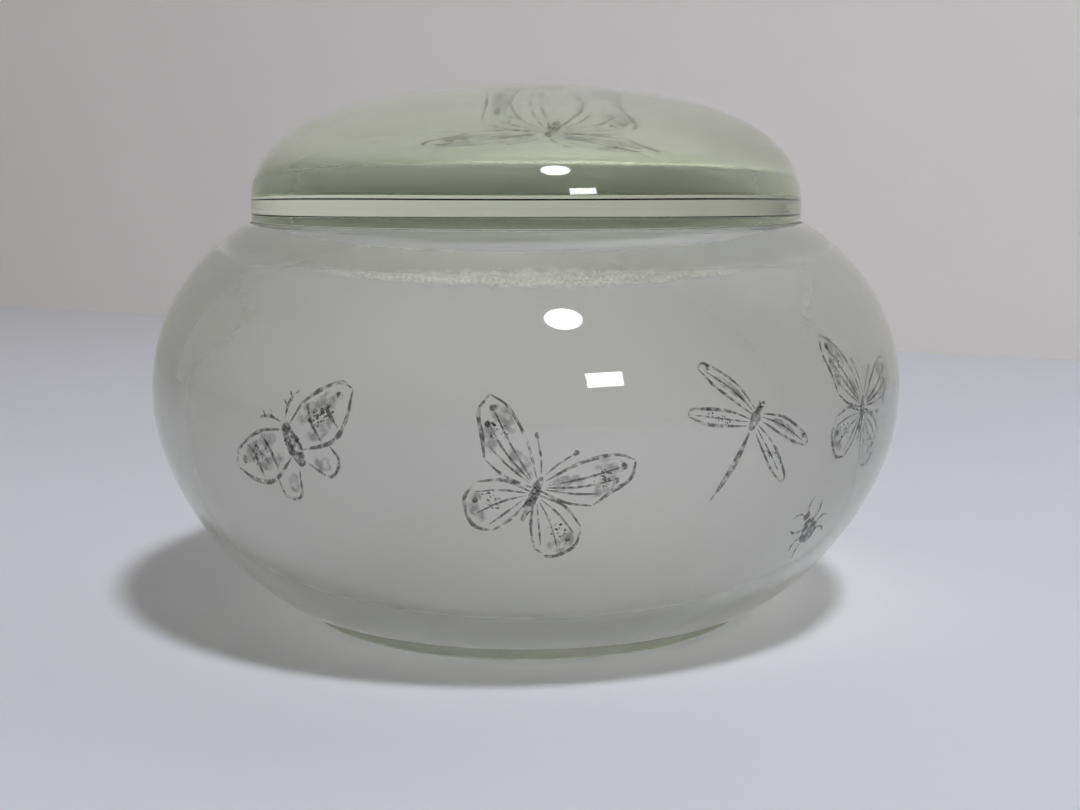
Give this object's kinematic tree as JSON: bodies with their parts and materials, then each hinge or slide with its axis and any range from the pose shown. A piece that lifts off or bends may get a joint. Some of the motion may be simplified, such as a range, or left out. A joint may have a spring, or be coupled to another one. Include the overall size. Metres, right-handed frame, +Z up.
{
  "type": "covered glass jar",
  "caption": "Squat round jar of thick clear glass with an inside-ground wall and a low foot, and a solid domed glass lid that lifts straight out of its mouth.",
  "frame": {"origin": "centre of the foot's underside, on the surface the jar stands on", "axes": "+Z up along the axis that both pieces are turned about; -Y is the side with the main painted butterfly"},
  "size_m": [0.09, 0.09, 0.0632],
  "materials": {
    "jar_glass": "polished outside, satin ground inside",
    "lid_glass": "polished, with a satin ground underside"
  },
  "bodies": {
    "jar": {"jar_body": "jar_glass"},
    "lid": {"lid": "lid_glass"}
  },
  "joints": [
    {"name": "lid_lift", "type": "slide", "parent": "jar", "child": "lid", "axis": [0, 0, 1], "range_m": [0, 0.04]}
  ]
}
